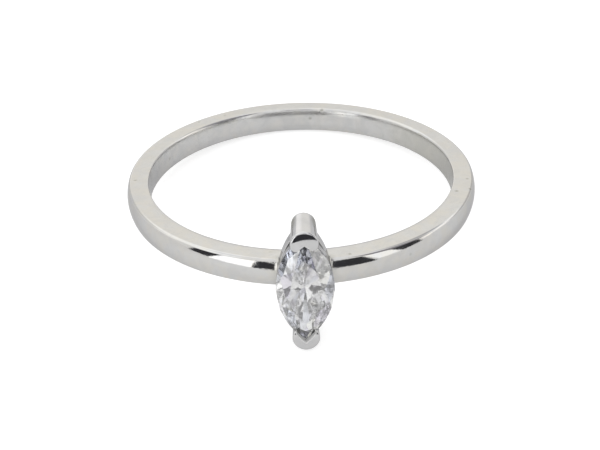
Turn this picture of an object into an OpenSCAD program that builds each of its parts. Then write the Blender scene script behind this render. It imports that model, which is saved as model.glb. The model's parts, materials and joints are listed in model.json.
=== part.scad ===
// Diamond solitaire ring, in millimetres. A plain domed band of white metal carries a two-claw
// head, and a marquise-cut stone is seated in the head.
//
// The ring lies on its side with the head to the front (-Y), as it rests by itself on a flat
// surface. The foot of the lower claw post and the back of the band touch the surface, so the
// ring leans back a little. The origin is on that surface, at the middle of the ring's box.
//
// Two inner frames are used. In the ring frame Z runs along the finger and the head is at -Y.
// In the head frame Z is the distance outwards from the finger's axis, and Y runs along the
// stone's length.

/* [Band] */
// Inside diameter of the band
inside_d = 17; // [15:0.25:21]
// Width of the band along the finger
band_w = 1.48; // [1.3:0.02:2]
// Thickness of the band at its flat sides
side_t = 1.15; // [1:0.05:1.5]
// Height of the dome on the band's outer face
dome_h = 0.17; // [0.08:0.01:0.3]
// Bevel along the band's edges
band_bevel = 0.05; // [0.02:0.01:0.1]

/* [Stone] */
// Length of the stone from point to point
stone_l = 6; // [5.4:0.1:6.6]
// Width of the stone at its girdle
stone_w = 2.86; // [2.7:0.02:3.1]
// Height of the crown, from the girdle to the table
crown_h = 0.42; // [0.36:0.01:0.5]
// Thickness of the girdle
girdle_t = 0.06; // [0.03:0.01:0.1]
// Depth of the pavilion, from the girdle to the culet
pavilion_h = 1.2; // [1.1:0.02:1.3]
// Size of the table as a share of the girdle's
table_share = 0.6; // [0.54:0.01:0.66]

/* [Head] */
// Height of the girdle above the band's crown
stone_rise = 1.16; // [1.1:0.02:1.4]
// Depth that the head's foot is let into the band
head_sink = 0.48; // [0.36:0.02:0.7]
// Thickness of the two rails' walls
rail_t = 0.3; // [0.24:0.02:0.4]
// Height of the lower rail
lower_rail_h = 0.66; // [0.5:0.02:0.8]
// Width across the lower rail
lower_rail_w = 2.6; // [2.4:0.05:2.8]
// Height of the upper rail
upper_rail_h = 0.4; // [0.3:0.02:0.5]
// Width across the upper rail
upper_rail_w = 2.82; // [2.7:0.02:2.96]

/* [Claws] */
// Width of a claw post at its foot
post_foot_w = 1.18; // [1:0.02:1.3]
// Width of a claw post at its tip
post_tip_w = 1.38; // [1.2:0.02:1.5]
// Distance of a claw post's middle inside the stone's point
post_inset = 0.31; // [0.27:0.01:0.4]
// Height of the claws' tips above the girdle
claw_h = 0.56; // [0.5:0.02:0.64]
// Radius of the rounding over a claw's tip
claw_dome_r = 1.5; // [1.2:0.05:2]
// Width of the stone's edge that a claw laps over
claw_lap = 0.16; // [0.1:0.02:0.24]
// Width of the notch in a claw's tip
notch_w = 0.92; // [0.7:0.02:1.04]
// Distance that both notches are shifted towards the lower claw
notch_shift = 0.08; // [0:0.02:0.12]

/* [Hidden] */
$fn = 180;

// Band
inside_r = inside_d / 2;
side_r = inside_r + side_t;
crown_r = side_r + dome_h;
half_w = band_w / 2;
dome_r = (half_w ^ 2 + dome_h ^ 2) / (2 * dome_h);
dome_centre_r = crown_r - dome_r;

// Stone: eight main facets go round it, each with its own place on the outline
MAINS = 8;
star_share = 0.5;
lower_half_share = 0.76;
stone_half_l = stone_l / 2;
stone_half_w = stone_w / 2;
seat_gap = 0.03;

// Head, as distances outwards from the finger's axis
girdle_z = crown_r + stone_rise;
foot_z = crown_r - head_sink;
tip_z = girdle_z + claw_h;
foot_bevel = 0.05;
lower_rail_z = foot_z + foot_bevel;
upper_rail_z = girdle_z - girdle_t - upper_rail_h;
rail_half_l = stone_half_l - 0.04;
post_y = stone_half_l - post_inset;
post_flat_y = post_y - 0.44;
culet_relief_r = 0.45;
culet_relief_h = 0.2;
culet_z = girdle_z - girdle_t / 2 - pavilion_h;
notch_h = 2;

// Lean of the resting ring: its lowest points are the ridge of the lower post just above the
// bevel of its foot, and the flat side's outer edge at the back of the band
ridge_z = foot_z + foot_bevel;
ridge_y = post_y + post_r(ridge_z);
back_r = side_r - band_bevel;
lean = atan2(ridge_y - half_w, ridge_z + back_r);
lift = back_r * sin(lean) + half_w * cos(lean);
back_y = dome_centre_r * cos(lean) + dome_r;
front_y = (tip_z - claw_dome_r) * cos(lean) + post_y * sin(lean) + claw_dome_r;

// Radius of a claw post at a distance from the finger's axis
function post_r(z) =
    (post_foot_w + (post_tip_w - post_foot_w) * (z - foot_z) / (tip_z - foot_z)) / 2;

// A marquise outline is the lens between two equal circles: their radius and their offset
function lens_r(half_l, half_w) = (half_l ^ 2 + half_w ^ 2) / (2 * half_w);
function lens_c(half_l, half_w) = lens_r(half_l, half_w) - half_w;

// Point of the stone's outline at a turn, which is 0 at the belly and 90 at a point
function outline_point(turn) =
    let(
        c = lens_c(stone_half_l, stone_half_w),
        u = [stone_half_w * cos(turn), stone_half_l * sin(turn)],
        a = u * u,
        b = 2 * c * abs(u.x),
        reach = (sqrt(b ^ 2 + 4 * a * (lens_r(stone_half_l, stone_half_w) ^ 2 - c ^ 2)) - b) / (2 * a)
    )
    reach * u;

// Outward normal of the outline there; at a point it runs along the stone
function outline_normal(turn) =
    let(
        p = outline_point(turn),
        c = lens_c(stone_half_l, stone_half_w),
        n = abs(p.x) < 0.001 ? [0, p.y] : [p.x + sign(p.x) * c, p.y]
    )
    n / norm(n);

// Turn of main facet i, and the point where the outline's tangents at mains i and i + 1 meet
function main_turn(i) = i * 360 / MAINS;
function tangents_meet(i) =
    let(
        n1 = outline_normal(main_turn(i)),
        n2 = outline_normal(main_turn(i + 1)),
        s1 = n1 * outline_point(main_turn(i)),
        s2 = n2 * outline_point(main_turn(i + 1)),
        det = n1.x * n2.y - n1.y * n2.x
    )
    [s1 * n2.y - s2 * n1.y, n1.x * s2 - n2.x * s1] / det;

// Places round the stone's corners in the list of its points
function table(i) = i % MAINS;
function crown(i) = MAINS + (i + MAINS) % MAINS;
function upper(j) = 2 * MAINS + j % (2 * MAINS);
function lower(j) = 4 * MAINS + j % (2 * MAINS);
function pavilion(i) = 6 * MAINS + (i + MAINS) % MAINS;

function at_height(p, z) = [p.x, p.y, z];

// Width of the band, with its dome outside and a bevel on each edge
module band_profile() {
    bevel_turn = (90 + asin(half_w / dome_r)) / 2;
    reach = 0.4;
    intersection() {
        translate([dome_centre_r, 0]) circle(dome_r);
        union() for (side = [1, -1])
            polygon([
                [inside_r, 0],
                [inside_r, side * (half_w - band_bevel)],
                [inside_r + band_bevel, side * half_w],
                [back_r, side * half_w],
                [back_r + reach * sin(bevel_turn), side * (half_w - reach * cos(bevel_turn))],
                [crown_r + reach, 0]
            ]);
    }
}

module band() {
    difference() {
        rotate_extrude() band_profile();
        // Relief drilled under the stone's culet
        to_head() translate([0, 0, culet_z - culet_relief_h]) cylinder(r = culet_relief_r, h = 1);
    }
}

// Marquise outline of a given wall inside the full one
module marquise(half_l, half_w, wall = 0) {
    intersection_for (side = [1, -1])
        translate([side * lens_c(half_l, half_w), 0])
            circle(lens_r(half_l, half_w) - wall);
}

module rail(z, height, width) {
    translate([0, 0, z])
        linear_extrude(height)
            difference() {
                marquise(rail_half_l, width / 2);
                marquise(rail_half_l, width / 2, rail_t);
            }
}

// Claw post: a round taper with a flat on the stone's side, its tip rounded over lengthwise
module claw_post() {
    dome_z = tip_z - claw_dome_r;
    intersection() {
        translate([0, post_y, foot_z]) union() {
            cylinder(r1 = post_r(foot_z) - foot_bevel, r2 = post_r(ridge_z), h = foot_bevel);
            translate([0, 0, foot_bevel])
                cylinder(r1 = post_r(ridge_z), r2 = post_r(tip_z), h = tip_z - ridge_z);
        }
        translate([0, post_y, 0]) union() {
            translate([-stone_w, -claw_dome_r, 0]) cube([2 * stone_w, 2 * claw_dome_r, dome_z]);
            translate([-stone_w, 0, dome_z]) rotate([0, 90, 0]) cylinder(r = claw_dome_r, h = 2 * stone_w);
        }
        translate([-stone_w, post_flat_y, 0]) cube([2 * stone_w, stone_l, 2 * tip_z]);
    }
}

// Stone with its faceted crown and pavilion, its girdle's middle at height 0
module cut_stone() {
    top = girdle_t / 2;
    crown_q = 1 - (1 - table_share) * star_share;
    pavilion_q = 1 - lower_half_share;
    ring = [for (j = [0 : 2 * MAINS - 1]) outline_point(j * 180 / MAINS)];
    mains = [for (i = [0 : MAINS - 1]) i];
    points = [
        for (i = mains) at_height(table_share * outline_point(main_turn(i)), top + crown_h),
        for (i = mains) at_height(crown_q * tangents_meet(i), top + star_share * crown_h),
        for (p = ring) at_height(p, top),
        for (p = ring) at_height(p, -top),
        for (i = mains) at_height(pavilion_q * tangents_meet(i), -top - lower_half_share * pavilion_h),
        [0, 0, -top - pavilion_h]
    ];
    culet = len(points) - 1;
    polyhedron(points, [
        [for (i = mains) table(MAINS - 1 - i)],
        for (i = mains) [table(i + 1), crown(i), table(i)],
        for (i = mains) [crown(i), upper(2 * i), crown(i - 1), table(i)],
        for (i = mains) [crown(i), upper(2 * i + 1), upper(2 * i)],
        for (i = mains) [crown(i), upper(2 * i + 2), upper(2 * i + 1)],
        for (j = [0 : 2 * MAINS - 1]) [upper(j), upper(j + 1), lower(j + 1), lower(j)],
        for (i = mains) [lower(2 * i + 1), pavilion(i), lower(2 * i)],
        for (i = mains) [lower(2 * i + 2), pavilion(i), lower(2 * i + 1)],
        for (i = mains) [pavilion(i), culet, pavilion(i - 1), lower(2 * i)]
    ]);
}

// Seat for the stone: its own form a little larger, and the notches in the claws over its points
module stone_seat() {
    translate([0, 0, girdle_z]) {
        scale(1 + seat_gap / stone_half_w) cut_stone();
        translate([0, -notch_shift, 0])
            linear_extrude(notch_h)
                intersection() {
                    marquise(stone_half_l, stone_half_w, claw_lap);
                    square([notch_w, stone_l], center = true);
                }
    }
}

module head() {
    difference() {
        union() {
            rail(lower_rail_z, lower_rail_h, lower_rail_w);
            rail(upper_rail_z, upper_rail_h, upper_rail_w);
            claw_post();
            rotate(180) claw_post();
        }
        stone_seat();
    }
}

// From the head frame to the ring frame, and from there to the resting ring
module to_head() {
    rotate([90, 0, 0]) children();
}

module at_rest() {
    translate([0, (front_y - back_y) / 2, lift])
        rotate([-lean, 0, 0])
            children();
}

module band_with_setting() {
    color("#c9c7c2")
        at_rest() {
            band();
            to_head() head();
        }
}

module marquise_diamond() {
    color("#e8eef2")
        at_rest()
            to_head()
                translate([0, 0, girdle_z])
                    cut_stone();
}

band_with_setting();
marquise_diamond();
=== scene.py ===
"""Looks of a diamond solitaire ring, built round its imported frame.

The ring lies on its side on a pale floor with its head to the front (-Y). Three frames are
used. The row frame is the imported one, in metres. In the ring frame Z runs along the finger and
the head is at -Y. In the head frame Z points from the finger's axis to the head, and Y runs
along the finger, as the stone does. Those two frames and the sizes of the ring's parts are in
millimetres.
"""

import json
import logging
import math
from collections.abc import Callable
from dataclasses import dataclass
from enum import Enum
from functools import cached_property

import bmesh
import bpy
import numpy as np
from mathutils import Matrix, Vector

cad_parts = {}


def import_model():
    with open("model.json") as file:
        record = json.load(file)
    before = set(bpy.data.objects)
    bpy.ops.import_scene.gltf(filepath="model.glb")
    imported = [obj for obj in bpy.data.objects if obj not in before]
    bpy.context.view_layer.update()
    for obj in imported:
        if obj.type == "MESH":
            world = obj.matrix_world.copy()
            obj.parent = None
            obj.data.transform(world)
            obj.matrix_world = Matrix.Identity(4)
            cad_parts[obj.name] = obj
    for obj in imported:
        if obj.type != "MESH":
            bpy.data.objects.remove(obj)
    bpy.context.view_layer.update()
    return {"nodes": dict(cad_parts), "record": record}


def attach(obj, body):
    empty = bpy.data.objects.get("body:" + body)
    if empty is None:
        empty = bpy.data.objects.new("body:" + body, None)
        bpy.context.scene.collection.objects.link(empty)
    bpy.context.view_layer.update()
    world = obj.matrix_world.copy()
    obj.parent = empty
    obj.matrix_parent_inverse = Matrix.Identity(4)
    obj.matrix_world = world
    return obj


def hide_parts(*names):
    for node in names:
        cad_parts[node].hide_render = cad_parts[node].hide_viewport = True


LOG = logging.getLogger("ring")
MM = 0.001
TINY = 1e-9
METAL_NODE = "band_with_setting"
STONE_NODE = "marquise_diamond"
FINGER_HOLE = "finger_hole"

# The corners of a net's cell, as steps from its lowest corner.
CELL_CORNERS = [np.array(corner) for corner in np.ndindex(2, 2, 2)]

Field = Callable[[np.ndarray], np.ndarray]
Colour = tuple[float, float, float]
Socket = bpy.types.NodeSocket
Sockets = bpy.types.bpy_prop_collection


def smooth_min(a: np.ndarray, b: np.ndarray, reach: float) -> np.ndarray:
    """Union of two distances with a fillet where both are within reach of each other.

    Args:
        a: distances to the first shape.
        b: distances to the second shape.
        reach: difference of the two distances at which the fillet ends.

    Returns:
        The distances to the blended union.
    """
    share = np.clip(reach - np.abs(a - b), 0, None) / reach
    return np.minimum(a, b) - share**2 * reach / 4


def smooth_max(a: np.ndarray, b: np.ndarray, reach: float) -> np.ndarray:
    """Intersection of two distances with a rounded edge."""
    return -smooth_min(-a, -b, reach)


def rounded_corner(a: np.ndarray, b: np.ndarray, radius: float) -> np.ndarray:
    """Intersection of two shapes that meet at a right angle, its edge a true arc."""
    outside = np.hypot(np.maximum(a + radius, 0), np.maximum(b + radius, 0))
    return outside + np.minimum(np.maximum(a, b) + radius, 0) - radius


def lifted(point: Vector, z: float) -> Vector:
    """The point moved up or down to a height."""
    return Vector((point.x, point.y, z))


@dataclass(frozen=True)
class Marquise:
    """Marquise outline: the lens between two equal arcs.

    Attributes:
        half_l: half of its length from point to point, along Y.
        half_w: half of its width, along X.
        point_w: distance from Y within which a place counts as one of the two points.
    """

    half_l: float
    half_w: float
    point_w: float = 0.001

    @property
    def arc_r(self) -> float:
        """Radius of each arc."""
        return (self.half_l**2 + self.half_w**2) / (2 * self.half_w)

    @property
    def arc_offset(self) -> float:
        """Distance of each arc's centre from the middle."""
        return self.arc_r - self.half_w

    def distance(self, x: np.ndarray, y: np.ndarray) -> np.ndarray:
        """Signed distance to the outline, negative inside it."""
        return np.hypot(np.abs(x) + self.arc_offset, y) - self.arc_r

    def point(self, turn: float) -> Vector:
        """Point of the outline at a turn, which is 0 at the belly and a quarter turn at a point.

        Args:
            turn: angle in radians of the same place on an ellipse as long and as wide.

        Returns:
            The point, with Z at 0.
        """
        u = Vector((self.half_w * math.cos(turn), self.half_l * math.sin(turn), 0))
        b = 2 * self.arc_offset * abs(u.x)
        a = u.length_squared
        c = self.arc_r**2 - self.arc_offset**2
        return u * (math.sqrt(b * b + 4 * a * c) - b) / (2 * a)

    def normal(self, turn: float) -> Vector:
        """Outward normal of the outline at a turn.

        Args:
            turn: the turn, as in point.

        Returns:
            The normal, which runs along the stone at its two points.
        """
        p = self.point(turn)
        if abs(p.x) < self.point_w:
            return Vector((0, math.copysign(1, p.y), 0))
        return Vector((p.x + math.copysign(self.arc_offset, p.x), p.y, 0)).normalized()

    def tangents_meet(self, turn: float, next_turn: float) -> Vector:
        """Point where the tangents at two turns meet.

        Args:
            turn: the first turn, as in point.
            next_turn: the second turn.

        Returns:
            The point, with Z at 0.
        """
        n1, n2 = self.normal(turn), self.normal(next_turn)
        s1, s2 = n1.dot(self.point(turn)), n2.dot(self.point(next_turn))
        det = n1.x * n2.y - n1.y * n2.x
        return Vector((s1 * n2.y - s2 * n1.y, n1.x * s2 - n2.x * s1, 0)) / det


@dataclass(frozen=True)
class RestPose:
    """How the ring lies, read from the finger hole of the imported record.

    Attributes:
        centre: middle of the band in the row frame, in metres.
        lean: angle of the finger's axis back from upright, in radians.
        inside_r: inside radius of the band.
    """

    centre: Vector
    lean: float
    inside_r: float

    @classmethod
    def from_record(cls, record: dict) -> "RestPose":
        """Reads the pose from the record's finger hole.

        Args:
            record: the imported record.

        Returns:
            The pose.
        """
        hole = next(m for m in record["mounts"] if m["name"] == FINGER_HOLE)
        axis = Vector(hole["axis"])
        return cls(Vector(hole["pos_m"]), math.atan2(axis.y, axis.z), hole["dims"]["r_mm"])

    @property
    def ring_to_row(self) -> Matrix:
        """Matrix from the ring frame to the row frame."""
        lean = Matrix.Rotation(-self.lean, 4, "X")
        return Matrix.Translation(self.centre) @ lean @ Matrix.Scale(MM, 4)

    @property
    def head_to_row(self) -> Matrix:
        """Matrix from the head frame to the row frame."""
        return self.ring_to_row @ Matrix.Rotation(math.pi / 2, 4, "X")


def read_values(items: bpy.types.bpy_prop_collection, key: str, width: int = 1,
                kind: type = np.float32) -> np.ndarray:
    """Reads one property of all of a mesh's vertices, loops or faces.

    Args:
        items: the vertices, loops or faces.
        key: the property's name.
        width: how many numbers each of them has.
        kind: kind of the numbers.

    Returns:
        The numbers, in rows where each has more than one.
    """
    values = np.empty(len(items) * width, kind)
    items.foreach_get(key, values)
    return values.reshape(-1, width) if width > 1 else values


def node_points(node: bpy.types.Object, to_row: Matrix) -> np.ndarray:
    """Corners of a CAD node's mesh, in the frame that to_row comes from."""
    back = np.array(to_row.inverted(), float)
    return read_values(node.data.vertices, "co", 3) @ back[:3, :3].T + back[:3, 3]


def new_object(name: str, data: bpy.types.ID) -> bpy.types.Object:
    """Puts a mesh or a camera in the scene.

    Args:
        name: the object's name.
        data: the mesh or the camera.

    Returns:
        The object.
    """
    thing = bpy.data.objects.new(name, data)
    bpy.context.scene.collection.objects.link(thing)
    return thing


def mesh_of(name: str, form: bmesh.types.BMesh) -> bpy.types.Mesh:
    """Turns a finished form into a mesh and frees the form.

    Args:
        name: the mesh's name.
        form: the form.

    Returns:
        The mesh.
    """
    mesh = bpy.data.meshes.new(name)
    form.to_mesh(mesh)
    form.free()
    return mesh


def grid_mesh(name: str, points: np.ndarray, quads: np.ndarray) -> bpy.types.Mesh:
    """Mesh of four-sided faces.

    Args:
        name: the mesh's name.
        points: the corners.
        quads: the numbers of each face's four corners.

    Returns:
        The mesh.
    """
    mesh = bpy.data.meshes.new(name)
    mesh.vertices.add(len(points))
    mesh.vertices.foreach_set("co", points.astype(np.float32).ravel())
    mesh.loops.add(quads.size)
    mesh.loops.foreach_set("vertex_index", quads.astype(np.int32).ravel())
    mesh.polygons.add(len(quads))
    mesh.polygons.foreach_set("loop_start", np.arange(0, quads.size, 4, dtype=np.int32))
    mesh.update(calc_edges=True)
    mesh.validate()
    return mesh


class Joint(Enum):
    """Ways in which one form joins another."""

    SOLDERED = "UNION"
    CUT_OUT = "DIFFERENCE"


def join(target: bpy.types.Object, other: bpy.types.Object, joint: Joint) -> None:
    """Solders one object to another or cuts it out of it, and removes it.

    Args:
        target: the object that stays.
        other: the object that is soldered on or cut out.
        joint: which of the two is done.
    """
    step = target.modifiers.new(joint.name, "BOOLEAN")
    step.operation = joint.value
    step.solver = "MANIFOLD"
    step.object = other
    graph = bpy.context.evaluated_depsgraph_get()
    made = bpy.data.meshes.new_from_object(target.evaluated_get(graph))
    target.modifiers.clear()
    old = target.data
    target.data = made
    bpy.data.meshes.remove(old)
    bpy.data.objects.remove(other)


@dataclass(frozen=True)
class SurfaceNet:
    """Meshes the zero surface of a distance field, as quads that follow it closely.

    Attributes:
        low: lowest corner of the region.
        high: highest corner of the region.
        cell: size of the net's cells.
        probe: share of a cell over which the field's slope is measured.
        settle: how often the corners are moved onto the surface.
        least_slope: least square of the slope that such a move is divided by.
    """

    low: tuple[float, float, float]
    high: tuple[float, float, float]
    cell: float
    probe: float = 0.1
    settle: int = 3
    least_slope: float = 0.1

    def sample(self, shape: Field) -> np.ndarray:
        """Values of the field at the corners of all cells.

        Args:
            shape: the field.

        Returns:
            The values along X, Y and Z.
        """
        counts = np.ceil((np.array(self.high) - self.low) / self.cell).astype(int) + 1
        xs, ys, zs = (low + self.cell * np.arange(n) for low, n in zip(self.low, counts))
        y, z = np.meshgrid(ys, zs, indexing="ij")
        slabs = [shape(np.stack([np.full(y.size, x), y.ravel(), z.ravel()], 1)) for x in xs]
        return np.stack(slabs).reshape(-1, *y.shape)

    def gradient(self, shape: Field, points: np.ndarray) -> np.ndarray:
        """Slope of the field, from differences close to each point."""
        step = self.cell * self.probe
        return np.stack([(shape(points + axis) - shape(points - axis)) / (2 * step)
                         for axis in np.eye(3) * step], 1)

    def build(self, shape: Field) -> tuple[np.ndarray, np.ndarray]:
        """Meshes the field's zero surface.

        Args:
            shape: signed distance, negative inside.

        Returns:
            The corners and, four to a face, their numbers.
        """
        values = self.sample(shape)
        inside = values < 0
        size = np.array(values.shape) - 1
        filled = sum(
            inside[i:size[0] + i, j:size[1] + j, k:size[2] + k].astype(np.int8)
            for i, j, k in CELL_CORNERS
        )
        cells = np.argwhere((filled > 0) & (filled < len(CELL_CORNERS)))
        number = np.full(size, -1)
        number[tuple(cells.T)] = np.arange(len(cells))
        places = self.low + self.cell * (cells + self.crossing_middle(values, cells))
        for _ in range(self.settle):
            slope = self.gradient(shape, places)
            steep = np.maximum((slope**2).sum(1), self.least_slope)[:, None]
            step = -shape(places)[:, None] * slope / steep
            places = places + np.clip(step, -self.cell / 2, self.cell / 2)
        return places, self.faces(inside, number)

    @staticmethod
    def crossing_middle(values: np.ndarray, cells: np.ndarray) -> np.ndarray:
        """Mean place, within each cell, of the points where its edges cross the surface.

        Args:
            values: the field at the corners of all cells.
            cells: the cells that the surface runs through.

        Returns:
            The places, in cells from each cell's lowest corner.
        """
        total = np.zeros((len(cells), 3))
        count = np.zeros(len(cells))
        for a in CELL_CORNERS:
            for step in np.eye(3, dtype=int)[::-1]:
                if (a + step).max() > 1:
                    continue
                at_a, at_b = (values[tuple((cells + end).T)] for end in (a, a + step))
                cross = (at_a < 0) != (at_b < 0)
                share = (at_a[cross] / (at_a[cross] - at_b[cross]))[:, None]
                total[cross] += a + share * step
                count[cross] += 1
        return total / count[:, None]

    @staticmethod
    def faces(inside: np.ndarray, number: np.ndarray) -> np.ndarray:
        """Quads round every grid edge that crosses the surface.

        Args:
            inside: which corners of the cells lie inside the shape.
            number: number of each cell's corner of the mesh.

        Returns:
            The corners of each quad, which faces outwards.
        """
        quads = []
        steps = np.eye(3, dtype=int)
        for axis in range(3):
            u, v = steps[(axis + 1) % 3], steps[(axis + 2) % 3]
            ends = np.moveaxis(inside, axis, 0)
            found = np.argwhere(np.moveaxis(ends[:-1] != ends[1:], 0, axis))
            found = found[((found @ u) > 0) & ((found @ v) > 0)]
            quad = np.stack([number[tuple((found - s).T)] for s in (u + v, v, 0 * u, u)], 1)
            solid_below = inside[tuple(found.T)]
            quads.append(np.where(solid_below[:, None], quad, quad[:, ::-1]))
        return np.concatenate(quads)


@dataclass(frozen=True)
class Arc:
    """Arc of the band's section.

    Attributes:
        r: distance of its centre from the finger's axis.
        h: height of its centre.
        radius: its radius.
        start: angle that it starts at, in radians.
        end: angle that it ends at.
        steps: straight pieces that it is drawn with.
    """

    r: float
    h: float
    radius: float
    start: float
    end: float
    steps: int

    def point(self, angle: float) -> tuple[float, float]:
        """Place on the arc: distance from the finger's axis, and height."""
        return self.r + self.radius * math.cos(angle), self.h + self.radius * math.sin(angle)


@dataclass
class Band:
    """The hoop: flat side faces, a flat inner wall and a gently domed outer face.

    Attributes:
        inside_r: inside radius.
        crown_r: radius at the top of the dome.
        half_w: half of the width along the finger.
        dome_h: height of the dome above the outer edge of the flat sides.
        outer_edge_r: radius that wear has given the outer edges.
        inner_edge_r: radius of the inner edges.
        roll_r: radius of the gentle roll of the inner wall towards its edges.
        roll_angle: angle that the roll turns through.
        segments: faces round the hoop.
        dome_steps: faces across the dome.
        edge_steps: faces across an edge or a roll.
        flat_steps: corners along a flat, its ends among them.
    """

    inside_r: float
    crown_r: float
    half_w: float
    dome_h: float = 0.17
    outer_edge_r: float = 0.17
    inner_edge_r: float = 0.05
    roll_r: float = 1.5
    roll_angle: float = math.radians(20.5)
    segments: int = 360
    dome_steps: int = 24
    edge_steps: int = 8
    flat_steps: int = 7

    @property
    def dome_r(self) -> float:
        """Radius of the dome's arc across the band."""
        return (self.half_w**2 + self.dome_h**2) / (2 * self.dome_h)

    @property
    def dome_centre_r(self) -> float:
        """Distance of the dome arc's centre from the finger's axis."""
        return self.crown_r - self.dome_r

    @property
    def rolled_r(self) -> float:
        """Radius of the inner wall at the outer end of its roll."""
        return self.inside_r + self.roll_r * (1 - math.cos(self.roll_angle))

    @property
    def corner(self) -> tuple[float, float, float]:
        """Outer edge's arc.

        Returns:
            Its centre's distance from the axis and height, and its angle at the dome's centre.
        """
        height = self.half_w - self.outer_edge_r
        reach = self.dome_r - self.outer_edge_r
        angle = math.asin(height / reach)
        return self.dome_centre_r + reach * math.cos(angle), height, angle

    @property
    def roll(self) -> tuple[float, float]:
        """Centre of the inner wall's roll."""
        turned = (self.roll_r - self.inner_edge_r) * math.sin(self.roll_angle)
        return self.inside_r + self.roll_r, self.half_w - self.inner_edge_r - turned

    def distance(self, points: np.ndarray) -> np.ndarray:
        """Signed distance to the band.

        Args:
            points: places in the head frame.

        Returns:
            The distances, negative inside the metal.
        """
        r, h = np.hypot(points[:, 0], points[:, 2]), np.abs(points[:, 1])
        corner_r, corner_h, corner_a = self.corner
        arc = np.hypot(r - self.dome_centre_r, h) - (self.dome_r - self.outer_edge_r)
        flat = h - corner_h
        over_dome = np.arctan2(h, r - self.dome_centre_r) <= corner_a
        over_flat = np.where(r <= corner_r, flat, np.hypot(r - corner_r, flat))
        beyond = np.where(over_dome, arc, over_flat)
        outside = np.where((arc <= 0) & (flat <= 0), np.maximum(arc, flat), beyond)
        outside -= self.outer_edge_r
        roll_r, roll_h = self.roll
        rolled = np.hypot(r - roll_r, h - roll_h) - self.roll_r
        inner = np.where((h > roll_h) & (r < roll_r), rolled, self.inside_r - r)
        return np.maximum(outside, rounded_corner(inner, h - self.half_w, self.inner_edge_r))

    def section(self) -> np.ndarray:
        """Section of the band.

        Returns:
            Its corners in order, each a distance from the axis and a height.
        """
        corner_r, corner_h, corner_a = self.corner
        turn = math.pi / 2
        start = 2 * turn - self.roll_angle
        roll_r, roll_h = self.roll
        inner_r = roll_r + (self.roll_r - self.inner_edge_r) * math.cos(start)
        inner_h = self.half_w - self.inner_edge_r
        steps = self.edge_steps
        arcs = [
            Arc(self.dome_centre_r, 0, self.dome_r, -corner_a, corner_a, self.dome_steps),
            Arc(corner_r, corner_h, self.outer_edge_r, corner_a, turn, steps),
            Arc(inner_r, inner_h, self.inner_edge_r, turn, start, steps),
            Arc(roll_r, roll_h, self.roll_r, start, 2 * turn, steps),
            Arc(roll_r, -roll_h, self.roll_r, 2 * turn, 4 * turn - start, steps),
            Arc(inner_r, -inner_h, self.inner_edge_r, 4 * turn - start, 3 * turn, steps),
            Arc(corner_r, -corner_h, self.outer_edge_r, 3 * turn, 4 * turn - corner_a, steps),
        ]
        points = []
        touching = self.inner_edge_r / 100
        for arc, following in zip(arcs, arcs[1:] + arcs[:1]):
            points.extend(arc.point(a) for a in np.linspace(arc.start, arc.end, arc.steps + 1))
            end, begin = np.array(points[-1]), np.array(following.point(following.start))
            if np.hypot(*(begin - end)) < touching:
                points.pop()
            else:
                shares = np.linspace(0, 1, self.flat_steps)[1:-1]
                points.extend(tuple(end + share * (begin - end)) for share in shares)
        return np.array(points)

    def mesh(self) -> bpy.types.Mesh:
        """Sweeps the section round the finger's axis.

        Returns:
            The closed hoop in the head frame.
        """
        section = self.section()
        turns = np.arange(self.segments) * 2 * math.pi / self.segments
        cos, sin = np.cos(turns)[:, None], np.sin(turns)[:, None]
        height = np.broadcast_to(section[:, 1], (self.segments, len(section)))
        points = np.stack([section[:, 0] * sin, height, section[:, 0] * cos], -1)
        number = np.arange(height.size).reshape(height.shape)
        across = np.roll(number, -1, 1)
        quads = np.stack([number, across, np.roll(across, -1, 0), np.roll(number, -1, 0)], -1)
        return grid_mesh("hoop", points.reshape(-1, 3), quads.reshape(-1, 4)[:, ::-1])


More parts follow.
